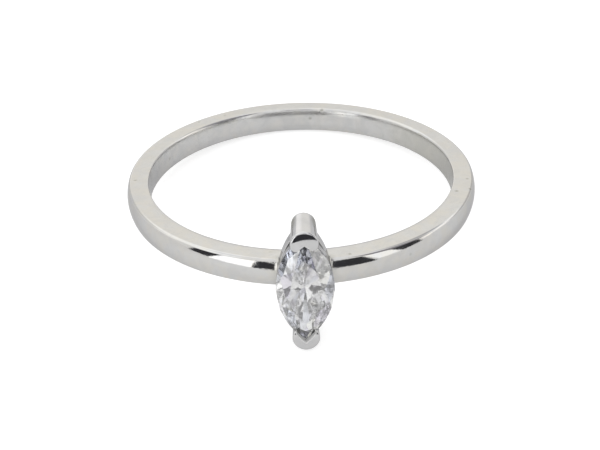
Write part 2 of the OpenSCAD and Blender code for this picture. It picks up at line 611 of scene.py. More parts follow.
@dataclass
class CutStone:
    """Marquise brilliant: a table, stars, mains and halves, with a scalloped girdle.

    Attributes:
        outline: outline of the girdle.
        table_z: height of the table, from the finger's axis.
        culet_z: height of the culet.
        crown_h: height of the crown.
        girdle_t: thickness of the girdle at the mains.
        table_share: size of the table as a share of the girdle's.
        star_share: how far the stars reach down the crown.
        lower_half_share: how far the lower halves reach down the pavilion.
        mains: number of mains round the stone.
        girdle_steps: faces of the girdle to each half.
        cut_error: usual error of a facet's slope, in radians.
        seed: seed of the errors of the cut.
        weld: distance within which corners become one.
        grain: distance within which a corner counts as lying on a cut.
    """

    outline: Marquise
    table_z: float
    culet_z: float
    crown_h: float = 0.3738
    girdle_t: float = 0.06
    table_share: float = 0.6073
    star_share: float = 0.5406
    lower_half_share: float = 0.8178
    mains: int = 8
    girdle_steps: int = 12
    cut_error: float = math.radians(1.2187)
    seed: int = 672
    weld: float = 1e-5
    grain: float = 1e-6

    @property
    def girdle_top(self) -> float:
        """Height of the girdle's upper edge at the mains."""
        return self.table_z - self.crown_h

    @property
    def girdle_low(self) -> float:
        """Height of the girdle's lower edge at the mains."""
        return self.girdle_top - self.girdle_t

    @property
    def middle(self) -> Vector:
        """Middle of the girdle."""
        return Vector((0, 0, self.girdle_top - self.girdle_t / 2))

    def facet(self, a: Vector, b: Vector, c: Vector) -> tuple[Vector, Vector]:
        """The first of three corners of a facet, and the facet's outward normal."""
        normal = (b - a).cross(c - a).normalized()
        return a, -normal if normal.dot(a - self.middle) < 0 else normal

    @cached_property
    def planes(self) -> list[tuple[Vector, Vector]]:
        """Planes of the facets.

        Returns:
            A point and the outward normal of the table, and then of the facets at each main.
        """
        top, low, outline = self.girdle_top, self.girdle_low, self.outline
        culet = Vector((0, 0, self.culet_z))
        half = math.pi / self.mains
        crown_q = 1 - (1 - self.table_share) * self.star_share
        pavilion_q = 1 - self.lower_half_share
        star_z = top + self.star_share * self.crown_h
        half_z = low - self.lower_half_share * (low - self.culet_z)
        corners = []
        for i in range(self.mains):
            turn, after = 2 * half * i, 2 * half * (i + 1)
            meets = outline.tangents_meet(turn, after), outline.tangents_meet(turn - 2 * half, turn)
            star, star_before = (lifted(crown_q * meet, star_z) for meet in meets)
            deep, deep_before = (lifted(pavilion_q * meet, half_z) for meet in meets)
            corner, corner_after = (
                lifted(self.table_share * outline.point(place), self.table_z) for place in (turn, after)
            )
            rim = [outline.point(turn + k * half) for k in range(3)]
            over, under = ([lifted(point, z) for point in rim] for z in (top, low))
            corners += [
                (corner, corner_after, star),
                (corner, star, star_before),
                (star, over[0], over[1]),
                (star, over[1], over[2]),
                (deep, under[0], under[1]),
                (deep, under[1], under[2]),
                (culet, deep, deep_before),
            ]
        table = Vector((0, 0, self.table_z)), Vector((0, 0, 1))
        return [table] + [self.facet(*three) for three in corners]

    def distance(self, points: np.ndarray, room: float) -> np.ndarray:
        """Signed distance to the stone's facets, grown about its middle by room.

        Args:
            points: places in the head frame.
            room: gap that the grown form leaves at the girdle's belly.

        Returns:
            The distances, which are true near the facets.
        """
        grow = 1 + room / self.outline.half_w
        moved = (points - np.array(self.middle)) / grow
        far = self.outline.distance(moved[:, 0], moved[:, 1])
        for place, normal in self.planes:
            far = np.maximum(far, moved @ np.array(normal) - normal.dot(place - self.middle))
        return far * grow

    def mesh(self) -> bpy.types.Mesh:
        """Cuts the stone out of a marquise column.

        Returns:
            The stone in the head frame, with the girdle's faces in its second material.
        """
        form = bmesh.new()
        steps = 2 * self.mains * self.girdle_steps
        rim = [self.outline.point(k * 2 * math.pi / steps) for k in range(steps)]
        heights = self.culet_z - self.crown_h, self.table_z + self.crown_h
        low, high = ([form.verts.new(lifted(p, z)) for p in rim] for z in heights)
        form.faces.new(low[::-1])
        form.faces.new(high)
        for k in range(steps):
            after = (k + 1) % steps
            form.faces.new((low[k], low[after], high[after], high[k])).material_index = 1
        draw = np.random.default_rng(self.seed)
        for n, (place, normal) in enumerate(self.planes):
            tilt = Vector(draw.normal(0, self.cut_error, 3)) if n else Vector()
            self.cut(form, place, (normal + tilt).normalized())
        bmesh.ops.remove_doubles(form, verts=form.verts[:], dist=self.weld)
        bmesh.ops.recalc_face_normals(form, faces=form.faces[:])
        return mesh_of("cut", form)

    def cut(self, form: bmesh.types.BMesh, place: Vector, normal: Vector) -> None:
        """Grinds one facet: takes off all that lies beyond the plane and closes the cut.

        Args:
            form: the stone so far.
            place: a point of the facet.
            normal: the facet's outward normal.
        """
        parts = form.verts[:] + form.edges[:] + form.faces[:]
        bmesh.ops.bisect_plane(form, geom=parts, dist=self.grain, plane_co=place, plane_no=normal,
                               clear_outer=True)
        rim = [edge for edge in form.edges if edge.is_boundary]
        if rim:
            made = bmesh.ops.contextual_create(form, geom=rim)
            for face in made["faces"]:
                face.material_index = 0


@dataclass
class ClawHead:
    """The setting: two marquise rails between two claw posts, soldered to the band.

    Attributes:
        band: the hoop that the head is let into.
        stone: the stone that the head holds.
        tip_z: distance of the claws' tips from the finger's axis.
        foot_z: distance of the posts' feet from the finger's axis.
        rail_t: thickness of the rails' walls.
        rail_short: how much shorter the rails are than the stone, at each point.
        lower_rail_h: height of the lower rail.
        lower_rail_w: width of the lower rail.
        upper_rail_h: height of the upper rail.
        upper_rail_w: width of the upper rail.
        upper_rail_drop: how far under the girdle's top the upper rail lies, in girdle thicknesses.
        rail_edge_r: radius of the rails' edges.
        post_foot_w: width of a post at its foot.
        post_tip_w: width of a post at its tip.
        post_inset: distance of a post's axis from the stone's point.
        post_flat: distance of a post's flat inside from its axis.
        foot_bevel: height of the lower rail above the posts' feet.
        foot_drop: length that the posts run on under their feet.
        foot_edge: radius of the posts' lower edges.
        claw_dome_r: radius of a claw's dome along the stone.
        claw_crown_r: radius of a claw's dome across the stone.
        claw_crest: distance of the dome's crest from the post's axis.
        claw_bend_r: radius that the crest is bent to.
        claw_wear: height that wear has taken off the crest.
        claw_skew: how far aside the upper claw's crest is bent.
        claw_edge: reach of the rounding of a claw's edge.
        claw_lap: how far a claw laps over the stone's edge.
        notch_w: width of a claw's notch.
        notch_shift: how far the notches are set towards the lower claw.
        upper_lap: how much further the upper claw laps over.
        notch_edge: reach of the rounding of the notches' edges.
        seat_gap: gap between the stone and its seat.
        solder: reach of the solder's fillet between rails and posts.
        band_solder: reach of the solder's fillet on the band.
        sink: depth by which the fillet goes into the band.
        keep: thickness of the zone round the head that the fillet is kept to.
        relief_r: radius of the drilled relief under the culet.
        relief_depth: how far past the culet and the band's dome it is drilled.
        relief_sides: faces round the drilled relief.
        cell: size of the cells that the head is meshed with.
        spare_cells: cells left free round the head.
    """

    band: Band
    stone: CutStone
    tip_z: float
    foot_z: float
    rail_t: float = 0.3
    rail_short: float = 0.04
    lower_rail_h: float = 0.66
    lower_rail_w: float = 2.6
    upper_rail_h: float = 0.4
    upper_rail_w: float = 2.82
    upper_rail_drop: float = 1.5
    rail_edge_r: float = 0.05
    post_foot_w: float = 1.18
    post_tip_w: float = 1.38
    post_inset: float = 0.31
    post_flat: float = 0.44
    foot_bevel: float = 0.05
    foot_drop: float = 0.2
    foot_edge: float = 0.34
    claw_dome_r: float = 1.5
    claw_crown_r: float = 2.6
    claw_crest: float = 0.2
    claw_bend_r: float = 1.0
    claw_wear: float = 0.03
    claw_skew: float = 0.15
    claw_edge: float = 0.09
    claw_lap: float = 0.16
    notch_w: float = 0.92
    notch_shift: float = 0.08
    upper_lap: float = 0.08
    notch_edge: float = 0.03
    seat_gap: float = 0.03
    solder: float = 0.09
    band_solder: float = 0.16
    sink: float = 0.01
    keep: float = 0.22
    relief_r: float = 0.45
    relief_depth: float = 0.2
    relief_sides: int = 72
    cell: float = 0.0315
    spare_cells: int = 3

    @property
    def post_y(self) -> float:
        """Distance of the posts' axes from the middle of the stone."""
        return self.stone.outline.half_l - self.post_inset

    def rail(self, points: np.ndarray, low: float, height: float, width: float) -> np.ndarray:
        """Distance to a marquise wall.

        Args:
            points: places in the head frame.
            low: height of the wall's lower edge.
            height: height of the wall itself.
            width: width of the marquise.

        Returns:
            The distances, negative inside the metal.
        """
        outline = Marquise(self.stone.outline.half_l - self.rail_short, width / 2)
        wall = np.abs(outline.distance(points[:, 0], points[:, 1]) + self.rail_t / 2) - self.rail_t / 2
        slab = np.abs(points[:, 2] - low - height / 2) - height / 2
        return rounded_corner(wall, slab, self.rail_edge_r)

    def rails(self, points: np.ndarray) -> np.ndarray:
        """Distance to the two rails.

        Args:
            points: places in the head frame.

        Returns:
            The distances, negative inside the metal.
        """
        low = self.foot_z + self.foot_bevel
        drop = self.upper_rail_drop * self.stone.girdle_t
        under_stone = self.stone.girdle_top - drop - self.upper_rail_h
        return np.minimum(
            self.rail(points, low, self.lower_rail_h, self.lower_rail_w),
            self.rail(points, under_stone, self.upper_rail_h, self.upper_rail_w),
        )

    def posts(self, points: np.ndarray) -> np.ndarray:
        """Distance to the two claw posts: round tapers with a domed tip and a flat inside.

        Args:
            points: places in the head frame.

        Returns:
            The distances, negative inside the metal.
        """
        across, height = points[:, 0], points[:, 2]
        along = np.abs(points[:, 1]) - self.post_y
        share = (height - self.foot_z) / (self.tip_z - self.foot_z)
        radius = (self.post_foot_w + (self.post_tip_w - self.post_foot_w) * share) / 2
        side = np.hypot(across, along) - radius
        aside = across - self.claw_skew * (points[:, 1] > 0)
        crest = along - self.claw_crest + aside**2 / (2 * self.claw_bend_r)
        long_drop, long_slope = self.sag(crest, self.claw_dome_r)
        cross_drop, cross_slope = self.sag(across, self.claw_crown_r)
        dome = height - self.tip_z + self.claw_wear + long_drop + cross_drop
        dome /= np.sqrt(1 + long_slope**2 + (cross_slope + long_slope * aside / self.claw_bend_r) ** 2)
        post = smooth_max(side, dome, self.claw_edge)
        post = rounded_corner(post, self.foot_z - self.foot_drop - height, self.foot_edge)
        return smooth_max(post, -self.post_flat - along, self.claw_edge)

    @staticmethod
    def sag(offset: np.ndarray, radius: float) -> tuple[np.ndarray, np.ndarray]:
        """Drop and slope of a round surface at a distance from its crest."""
        rise = np.sqrt(np.maximum(radius**2 - offset**2, (radius / 2) ** 2))
        return radius - rise, offset / rise

    def notch(self, points: np.ndarray) -> np.ndarray:
        """Distance to the notches that bare the stone's points.

        Args:
            points: places in the head frame.

        Returns:
            The distances, negative inside a notch.
        """
        shifted = points[:, 1] + self.notch_shift + self.upper_lap * (points[:, 1] > 0)
        lens = self.stone.outline.distance(points[:, 0], shifted) + self.claw_lap
        strip = np.abs(points[:, 0]) - self.notch_w / 2
        return np.maximum(np.maximum(lens, strip), self.stone.girdle_low - points[:, 2])

    def distance(self, points: np.ndarray) -> np.ndarray:
        """Distance to the head alone.

        Args:
            points: places in the head frame.

        Returns:
            The distances, negative inside the metal.
        """
        metal = smooth_min(self.rails(points), self.posts(points), self.solder)
        metal = smooth_max(metal, -self.notch(points), self.notch_edge)
        return smooth_max(metal, -self.stone.distance(points, self.seat_gap), self.notch_edge)

    def soldered(self, points: np.ndarray) -> np.ndarray:
        """Distance to the head and the band with the solder's fillet between them."""
        return smooth_min(self.distance(points), self.band.distance(points), self.band_solder)

    def with_fillet(self, points: np.ndarray) -> np.ndarray:
        """Distance to the head and its fillet on the band.

        Args:
            points: places in the head frame.

        Returns:
            The distances to the metal in a thin zone round the head, negative inside it.
        """
        head = self.distance(points)
        both = smooth_min(head, self.band.distance(points) + self.sink, self.band_solder)
        return np.maximum(both, head - self.keep)

    def net(self) -> SurfaceNet:
        """Works out the region that the head is meshed in.

        Returns:
            The net that the head is meshed with.
        """
        spare = self.spare_cells * self.cell
        side = self.upper_rail_w / 2 + self.keep + spare
        end = self.post_y + self.post_tip_w / 2 + spare
        low = self.foot_z - self.foot_drop - spare
        return SurfaceNet((-side, -end, low), (side, end, self.tip_z + spare), self.cell)

    def mesh(self) -> bpy.types.Mesh:
        """The head and its fillet in the head frame."""
        return grid_mesh("head", *self.net().build(self.with_fillet))

    def relief(self) -> bpy.types.Object:
        """Drill for the relief under the culet.

        Returns:
            The drill, in the head frame.
        """
        form = bmesh.new()
        low, high = self.stone.culet_z - self.relief_depth, self.band.crown_r + self.relief_depth
        place = Matrix.Translation((0, 0, (low + high) / 2))
        bmesh.ops.create_cone(form, cap_ends=True, segments=self.relief_sides, radius1=self.relief_r,
                              radius2=self.relief_r, depth=high - low, matrix=place)
        return new_object("relief", mesh_of("relief", form))


class NodeSheet:
    """Small helper that adds nodes to a tree and links them."""

    def __init__(self, tree: bpy.types.NodeTree) -> None:
        """Starts on an empty sheet."""
        self.tree = tree
        tree.nodes.clear()

    def feed(self, socket: Socket, value: object) -> None:
        """Links an input, or sets it.

        Args:
            socket: the input.
            value: a socket to link, or a value to set.
        """
        if isinstance(value, Socket):
            self.tree.links.new(value, socket)
        else:
            socket.default_value = (*value, 1) if socket.type == "RGBA" else value

    def add(self, kind: str, inputs: dict | None = None, **settings: object) -> bpy.types.Node:
        """Adds a node.

        Args:
            kind: the node's type.
            inputs: for each input, by name or number, a socket to link or a value to set.
            settings: the node's own settings.

        Returns:
            The node.
        """
        node = self.tree.nodes.new(kind)
        for name, value in settings.items():
            setattr(node, name, value)
        for key, value in (inputs or {}).items():
            self.feed(node.inputs[key], value)
        return node

    def math(self, operation: str, *values: object) -> Socket:
        """Adds a math node and returns its output."""
        return self.add("ShaderNodeMath", dict(enumerate(values)), operation=operation).outputs[0]

    def times(self, a: object, b: object) -> Socket:
        """Product of two values."""
        return self.math("MULTIPLY", a, b)

    def plus(self, base: object, value: object, share: object) -> Socket:
        """Base with a share of a value added to it."""
        return self.math("MULTIPLY_ADD", value, share, base)

    def smooth(self, value: Socket, start: float, end: float, low: float = 0.0,
               high: float = 1.0) -> Socket:
        """Eases a value from low at start to high at end."""
        inputs = {0: value, 1: start, 2: end, 3: low, 4: high}
        return self.add("ShaderNodeMapRange", inputs, interpolation_type="SMOOTHSTEP").outputs[0]

    def mix(self, share: object, a: object, b: object) -> Socket:
        """Mixes two colours."""
        return self.add("ShaderNodeMix", {0: share, 6: a, 7: b}, data_type="RGBA").outputs[2]

    def noise(self, place: Socket, scale: object, detail: float, roughness: float = 0.6,
              **inputs: object) -> Socket:
        """Adds noise.

        Args:
            place: where it is read.
            scale: how fine it is.
            detail: how many finer layers it has.
            roughness: how strong these are.
            inputs: its other inputs. One named W is its fourth dimension.

        Returns:
            The noise.
        """
        inputs.update(Vector=place, Scale=scale, Detail=detail, Roughness=roughness)
        kind = "4D" if "W" in inputs else "3D"
        return self.add("ShaderNodeTexNoise", inputs, noise_dimensions=kind).outputs[0]

    def parts(self, vector: Socket) -> Sockets:
        """Splits a vector into its X, Y and Z."""
        return self.add("ShaderNodeSeparateXYZ", {0: vector}).outputs

    def mark(self, name: str, output: str = "Fac") -> Socket:
        """Reads a mark that the mesh carries."""
        return self.add("ShaderNodeAttribute", attribute_name=name).outputs[output]

    def bump(self, height: Socket) -> Socket:
        """Normal of a surface with a relief whose height is in millimetres."""
        return self.add("ShaderNodeBump", {"Height": height, "Distance": MM, "Strength": 1.0}).outputs[0]

    def surface(self, inputs: dict[str, object]) -> None:
        """Ends the sheet in a surface with these inputs."""
        shader = self.add("ShaderNodeBsdfPrincipled", inputs)
        self.add("ShaderNodeOutputMaterial", {"Surface": shader.outputs[0]})


def new_material(name: str) -> tuple[bpy.types.Material, NodeSheet]:
    """Makes a material.

    Args:
        name: its name.

    Returns:
        The material and the empty sheet of its nodes.
    """
    made = bpy.data.materials.new(name)
    made.use_nodes = True
    return made, NodeSheet(made.node_tree)


class EffectGroup:
    """A shader effect with named inputs and outputs, built once and placed in many materials."""

    def __init__(self, name: str, inputs: tuple[str, ...], outputs: tuple[str, ...]) -> None:
        """Makes the group and its sockets.

        Args:
            name: the group's name.
            inputs: the inputs' names.
            outputs: the outputs' names.
        """
        self.tree = bpy.data.node_groups.new(name, "ShaderNodeTree")
        self.sheet = NodeSheet(self.tree)
        for side, keys in (("INPUT", inputs), ("OUTPUT", outputs)):
            for key in keys:
                self.tree.interface.new_socket(key, in_out=side, socket_type="NodeSocketFloat")
        self.inside = self.sheet.add("NodeGroupInput").outputs
        self.end = self.sheet.add("NodeGroupOutput")

    def put_out(self, **sockets: Socket) -> None:
        """Links sockets to the outputs whose names they are given by."""
        for key, socket in sockets.items():
            self.tree.links.new(socket, self.end.inputs[key])

    def place(self, sheet: NodeSheet, **values: float) -> Sockets:
        """Places the effect in a material.

        Args:
            sheet: the material's nodes.
            values: this material's own values of the effect's inputs, by name.

        Returns:
            The effect's outputs.
        """
        node = sheet.add("ShaderNodeGroup", node_tree=self.tree)
        for key, value in values.items():
            sheet.feed(node.inputs[key], value)
        return node.outputs


@dataclass(frozen=True)
class WearAndShadeEffects:
    """Effects that polishing and wear leave on the metal and the stone, with painted shade in the hollows
    and on the right.

    Attributes:
        pose: how the ring lies, which places the effects round the band.
        cloud_range: values of the noise between which a cloud of wear forms.
        tint_range: values of the noise between which a tinted cloud forms.
        tint_scale: how fine the tinted clouds are against the other clouds.
        tint_shift: how far the tinted clouds are moved from the other clouds.
        right_shade_range: sines of the turn to the right at which the painted shade starts and is full.
        right_shade_cloud: how much the clouds break up the painted shade's edge.
        pit_range: draws between which a spot turns into a pit.
        pit_edge: distances from a pit's middle between which it deepens.
        break_range: values of the noise between which the painted shade and the dulling go from their
            thinnest to full.
        least_shade_and_grime: share of the painted shade and the dulling that is left at its thinnest.
        joint_range: closeness to a solder joint at which the dulling starts and is full.
    """

    pose: RestPose
    cloud_range: tuple[float, float] = (0.36, 0.66)
    tint_range: tuple[float, float] = (0.38, 0.62)
    tint_scale: float = 0.7
    tint_shift: tuple[float, float, float] = (31.0, 17.0, 5.0)
    right_shade_range: tuple[float, float] = (0.7, 1.0)
    right_shade_cloud: float = 0.3
    pit_range: tuple[float, float] = (0.8, 0.95)
    pit_edge: tuple[float, float] = (0.2, 0.05)
    break_range: tuple[float, float] = (0.25, 0.7)
    least_shade_and_grime: float = 0.72
    joint_range: tuple[float, float] = (0.62, 1.0)

    def band_place(self, sheet: NodeSheet) -> tuple[Socket, ...]:
        """Finds where on the ring a point of the surface is.

        Args:
            sheet: the nodes that the places are worked out in.

        Returns:
            The place in the ring frame, its distance from the finger's axis, its height along
            the axis, and the X and Y of its direction from the axis.
        """
        back = self.pose.ring_to_row.inverted()
        where = sheet.add("ShaderNodeTexCoord").outputs["Object"]
        place = sheet.add("ShaderNodeMapping", {
            "Vector": where, "Scale": (1 / MM,) * 3, "Location": back.translation,
            "Rotation": (self.pose.lean, 0, 0)}).outputs[0]
        part = sheet.parts(place)
        level = sheet.add("ShaderNodeCombineXYZ", {0: part["X"], 1: part["Y"]}).outputs[0]
        out = sheet.add("ShaderNodeVectorMath", {0: level}, operation="LENGTH").outputs["Value"]
        turn = sheet.add("ShaderNodeVectorMath", {0: level}, operation="NORMALIZE").outputs[0]
        side = sheet.parts(turn)
        return place, out, part["Z"], side["X"], side["Y"]

    def polish_and_shade(self) -> EffectGroup:
        """Marks of the polishing brush, soft clouds of wear, a few pits and painted shade on the right.

        Returns:
            The effect. Its lines run round the band, and its ripples cross it.
        """
        group = EffectGroup("polish_wear_and_shade", ("Lines", "Drift", "Ripple", "Clouds", "Pits"),
                            ("Brushed", "Rippled", "Clouded", "Tinted", "Pitted", "Tarnished"))
        sheet, inside = group.sheet, group.inside
        place, out, along, x, y = self.band_place(sheet)
        section = sheet.add("ShaderNodeCombineXYZ", {
            0: sheet.times(out, inside["Lines"]), 1: sheet.times(along, inside["Lines"]),
            2: sheet.times(x, inside["Drift"])}).outputs[0]
        brushed = sheet.noise(section, 1.0, detail=2.0, W=sheet.times(y, inside["Drift"]))
        ripple = sheet.noise(place, inside["Ripple"], detail=3.0, roughness=0.62)
        clouds = sheet.noise(place, inside["Clouds"], detail=4.0, Distortion=0.6)
        shifted = sheet.add("ShaderNodeVectorMath", {0: place, 1: self.tint_shift}, operation="ADD")
        tint_scale = sheet.times(inside["Clouds"], self.tint_scale)
        tint = sheet.noise(shifted.outputs[0], tint_scale, detail=3.0, roughness=0.55)
        dots = sheet.add("ShaderNodeTexVoronoi", {
            "Vector": place, "Scale": inside["Pits"], "Randomness": 1.0}).outputs
        draw = sheet.add("ShaderNodeSeparateColor", {0: dots["Color"]}).outputs[0]
        pits = sheet.times(sheet.smooth(dots["Distance"], *self.pit_edge),
                           sheet.smooth(draw, *self.pit_range))
        # Painted shade: a darker warm tint on the right that stands in for the shaded floor that the inner
        # wall mirrors there.
        right_shade = sheet.plus(x, clouds, self.right_shade_cloud)
        group.put_out(Brushed=brushed, Rippled=ripple, Clouded=sheet.smooth(clouds, *self.cloud_range),
                      Tinted=sheet.smooth(tint, *self.tint_range), Pitted=pits,
                      Tarnished=sheet.smooth(right_shade, *self.right_shade_range))
        return group

    def shade_and_grime(self) -> EffectGroup:
        """Painted shade in the head's hollows and on the posts' flanks, partly dirt in the hollows, and
        dulling along the solder joints.

        Returns:
            The effect, which reads the marks that the mesh carries.
        """
        group = EffectGroup("hollow_shade_and_grime", ("Breakup",), ("Hollow", "Joint", "Filed", "Cut"))
        sheet = group.sheet
        noise = sheet.noise(self.band_place(sheet)[0], group.inside["Breakup"], detail=3.0)
        spread = sheet.smooth(noise, *self.break_range, self.least_shade_and_grime)
        joint = sheet.smooth(sheet.mark("joint"), *self.joint_range)
        group.put_out(Hollow=sheet.times(sheet.mark("hollow_shade"), spread), Joint=sheet.times(joint, spread),
                      Filed=sheet.mark("filed"), Cut=sheet.mark("cut"))
        return group


@dataclass(frozen=True)
class WearScale:
    """How fine the marks of polishing and wear are. A higher number is finer.

    Attributes:
        lines: brush lines, across their run.
        drift: brush lines, along their run.
        ripple: ripples.
        clouds: clouds of wear.
        pits: pits.
    """

    lines: float = 14.0
    drift: float = 30.0
    ripple: float = 6.5
    clouds: float = 1.6
    pits: float = 1.3

    def place(self, polish_and_shade: EffectGroup, sheet: NodeSheet) -> Sockets:
        """Places the effect of polishing, wear and painted shade in a material, and gives its outputs."""
        return polish_and_shade.place(sheet, Lines=self.lines, Drift=self.drift, Ripple=self.ripple,
                            Clouds=self.clouds, Pits=self.pits)


@dataclass(frozen=True)
class GoldFinish:
    """White gold on one part of the ring. The heights of its marks are in millimetres.

    Attributes:
        name: the finish's name.
        colour: colour that the metal mirrors light in.
        warm: colour of its warmer clouds.
        smoky: colour of its greyer clouds.
        dull_and_shade: colour of the painted shade in the hollows and on the posts' flanks, and of the
            dulled metal beside solder and in pits.
        right_shade_colour: colour of the painted shade on the right, a warm reflection of the shaded
            floor.
        bright_cut: colour of the claws' cut notches, which are left matt.
        edge_tint: colour that the mirror takes on where it is seen edge on.
        wear: how fine its marks are.
        breakup: how finely its painted shade and dulling are broken up.
        roughness: blur of its mirror where it is well polished.
        cloud_blur: blur that its worn clouds add.
        hollow_blur: blur in the head's hollows.
        joint_blur: blur beside the solder.
        cut_blur: blur of the cut notches.
        cut_matt: how much of the mirror the cut notches lack.
        line_h: height of the brush lines.
        ripple_h: height of its ripples.
        filed_h: height of the ripples that filing has left by the head.
        pit_h: depth of its pits.
        tint: strength of its warmer clouds.
        smoke: strength of its greyer clouds.
        right_shade: strength of the painted shade on the right half of the ring.
        hollow_shade_strength: strength of the painted shade, partly dirt, in the head's hollows and on the
            posts' flanks.
        joint_dulling: strength of the dulling beside the solder.
        pit_dulling: strength of the dulling in its pits.
    """

    name: str
    colour: Colour = (0.616, 0.615, 0.609)
    warm: Colour = (0.628, 0.611, 0.575)
    smoky: Colour = (0.545, 0.545, 0.552)
    dull_and_shade: Colour = (0.36, 0.36, 0.32)
    right_shade_colour: Colour = (0.52, 0.51, 0.46)
    bright_cut: Colour = (0.7, 0.7, 0.69)
    edge_tint: Colour = (0.69, 0.69, 0.70)
    wear: WearScale = WearScale()
    breakup: float = 6.0
    roughness: float = 0.05
    cloud_blur: float = 0.05
    hollow_blur: float = 0.3
    joint_blur: float = 0.12
    cut_blur: float = 0.35
    cut_matt: float = 0.95
    line_h: float = 0.0006
    ripple_h: float = 0.0012
    filed_h: float = 0.012
    pit_h: float = 0.006
    tint: float = 0.8
    smoke: float = 0.4
    right_shade: float = 0.0
    hollow_shade_strength: float = 0.8
    joint_dulling: float = 0.35
    pit_dulling: float = 0.7

    def material(self, polish_and_shade: EffectGroup, shade_and_grime: EffectGroup) -> bpy.types.Material:
        """Builds the material.

        Args:
            polish_and_shade: the effect of polishing, wear and painted shade.
            shade_and_grime: the effect of painted shade in the hollows and dulled joints.

        Returns:
            The material.
        """
        made, sheet = new_material(self.name)
        worn_and_shaded = self.wear.place(polish_and_shade, sheet)
        shaded_and_dulled = shade_and_grime.place(sheet, Breakup=self.breakup)
        metal = self.colour
        for mask, strength, colour in (
            (worn_and_shaded["Tinted"], self.tint, self.warm),
            (worn_and_shaded["Clouded"], self.smoke, self.smoky),
            # Painted shade on the right half, a reflection of the shaded floor.
            (worn_and_shaded["Tarnished"], self.right_shade, self.right_shade_colour),
            (shaded_and_dulled["Joint"], self.joint_dulling, self.dull_and_shade),
            # Painted shade in the head's hollows and on the posts' flanks, partly dirt in the hollows.
            (shaded_and_dulled["Hollow"], self.hollow_shade_strength, self.dull_and_shade),
            (worn_and_shaded["Pitted"], self.pit_dulling, self.dull_and_shade),
        ):
            metal = sheet.mix(sheet.times(mask, strength), metal, colour)
        blur = self.roughness
        for mask, added in (
            (worn_and_shaded["Clouded"], self.cloud_blur),
            (shaded_and_dulled["Hollow"], self.hollow_blur),
            (shaded_and_dulled["Joint"], self.joint_blur),
            (shaded_and_dulled["Cut"], self.cut_blur),
        ):
            blur = sheet.plus(blur, mask, added)
        height = sheet.times(worn_and_shaded["Brushed"], self.line_h)
        ripple = sheet.plus(self.ripple_h, shaded_and_dulled["Filed"], self.filed_h)
        height = sheet.plus(height, worn_and_shaded["Rippled"], ripple)
        height = sheet.plus(height, worn_and_shaded["Pitted"], -self.pit_h)
        sheet.surface({
            "Base Color": sheet.mix(shaded_and_dulled["Cut"], metal, self.bright_cut), "Roughness": blur,
            "Metallic": sheet.plus(1.0, shaded_and_dulled["Cut"], -self.cut_matt),
            "Normal": sheet.bump(height), "Specular Tint": self.edge_tint})
        return made


@dataclass(frozen=True)
class DiamondFinish:
    """Polished facets, or the ground surface of the girdle.

    Attributes:
        name: the finish's name.
        clear: colour of light that has passed through.
        cloudy: colour of light that has passed through its cloudier parts.
        wear: how fine its marks are.
        roughness: blur of its polish.
        cloud_blur: blur that its clouds add.
        fire_tint: strength of the painted fire, tints that stand in for the coloured light that the facets
            throw.
        ripple_h: height of the polish's unevenness, in millimetres.
        ior: refractive index of diamond.
    """

    name: str
    clear: Colour = (0.80, 0.80, 0.80)
    cloudy: Colour = (0.66, 0.66, 0.64)
    wear: WearScale = WearScale(lines=30.0, drift=3.0, ripple=4.2173, pits=0.8)
    roughness: float = 0.035
    cloud_blur: float = 0.02
    fire_tint: float = 0.45
    ripple_h: float = 0.0018
    ior: float = 2.417

    def material(self, polish_and_shade: EffectGroup) -> bpy.types.Material:
        """Builds the material.

        Args:
            polish_and_shade: the effect of polishing, wear and painted shade.

        Returns:
            The material.
        """
        made, sheet = new_material(self.name)
        worn_and_shaded = self.wear.place(polish_and_shade, sheet)
        colour = sheet.mix(worn_and_shaded["Clouded"], self.clear, self.cloudy)
        sheet.surface({
            "Base Color": sheet.mix(self.fire_tint, colour, sheet.mark("fire_tint", "Color")),
            "Roughness": sheet.plus(self.roughness, worn_and_shaded["Tinted"], self.cloud_blur),
            "IOR": self.ior, "Transmission Weight": 1.0,
            "Normal": sheet.bump(sheet.times(worn_and_shaded["Rippled"], self.ripple_h))})
        return made


class MetalPart(Enum):
    """Parts of the ring's metal that are finished in their own way."""

    OUTSIDE = 0
    INSIDE = 1
    HEAD = 2


